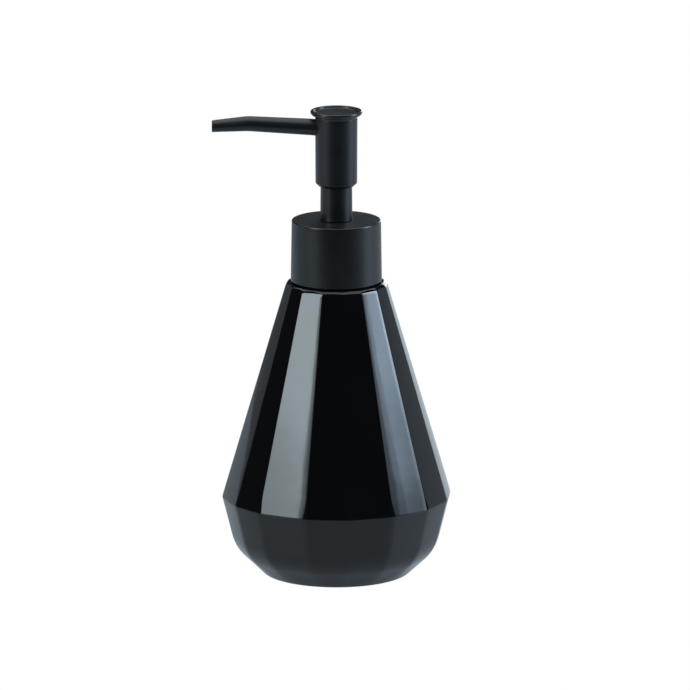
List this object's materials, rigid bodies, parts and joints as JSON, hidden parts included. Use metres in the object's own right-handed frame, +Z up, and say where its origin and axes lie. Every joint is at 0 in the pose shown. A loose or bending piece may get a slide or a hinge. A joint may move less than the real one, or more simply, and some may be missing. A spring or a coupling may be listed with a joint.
{
  "type": "soap pump dispenser",
  "caption": "Facetted black ceramic bottle, wide low down on a round foot, with a matte black screw-on pump: collar, sliding cylindrical head with a flared cap, and a slim tapered side spout.",
  "frame": {"origin": "centre of the round foot, in the plane that it stands on", "axes": "+Z up along the pump's axis, -X along the spout"},
  "size_m": [0.0885, 0.085, 0.175],
  "materials": {
    "black_glaze": "glossy black glaze",
    "matte_black": "fine matte moulded, faintly blue black",
    "inner_black_plastic": "plain moulded",
    "natural_plastic": "translucent natural polypropylene",
    "piston_plastic": "soft polyethylene",
    "tube_plastic": "translucent polyethylene tube",
    "rubber_seal": "soft black elastomer",
    "foam_gasket": "soft foamed liner",
    "spring_steel": "stainless spring wire",
    "ball_steel": "polished stainless ball"
  },
  "bodies": {
    "bottle_body": {"bottle": "black_glaze", "neck_insert": "inner_black_plastic", "insert_seal": "rubber_seal"},
    "pump_body": {"neck_gasket": "foam_gasket", "pump_housing": "natural_plastic", "guide_sleeve": "inner_black_plastic", "guide_sheath": "matte_black", "ball_cage": "natural_plastic", "return_spring": "spring_steel", "dip_tube": "tube_plastic"},
    "collar": {"closure_nut": "inner_black_plastic", "collar_shell": "matte_black"},
    "plunger": {"piston": "piston_plastic"},
    "head": {"stem": "inner_black_plastic", "piston_rod": "natural_plastic", "head_shell": "matte_black", "head_core": "inner_black_plastic", "spout": "matte_black", "top_cap": "matte_black"},
    "inlet_valve": {"inlet_ball": "ball_steel"},
    "outlet_valve": {"outlet_ball": "ball_steel"}
  },
  "joints": [
    {"name": "pump_lift", "type": "slide", "parent": "bottle_body", "child": "pump_body", "axis": [0, 0, 1], "range_m": [0, 0.00635]},
    {"name": "collar_unscrew", "type": "hinge", "parent": "pump_body", "child": "collar", "pos_m": [0, 0, 0.12], "axis": [0, 0, 1], "range_deg": [0, 540]},
    {"name": "pump_stroke", "type": "slide", "parent": "pump_body", "child": "plunger", "axis": [0, 0, -1], "range_m": [0, 0.0125], "stiffness_N_per_m": 800, "springref_m": -0.01, "deforming": ["return_spring"]},
    {"name": "head_swivel", "type": "hinge", "parent": "plunger", "child": "head", "pos_m": [0, 0, 0.16], "axis": [0, 0, 1], "continuous": true},
    {"name": "inlet_ball_lift", "type": "slide", "parent": "pump_body", "child": "inlet_valve", "axis": [0, 0, 1], "range_m": [0, 0.0012]},
    {"name": "outlet_ball_lift", "type": "slide", "parent": "head", "child": "outlet_valve", "axis": [0, 0, 1], "range_m": [0, 0.0012]}
  ],
  "couplings": [
    {"joint": "collar_unscrew", "follows": "pump_lift", "rad_per_m": 1484.3}
  ]
}
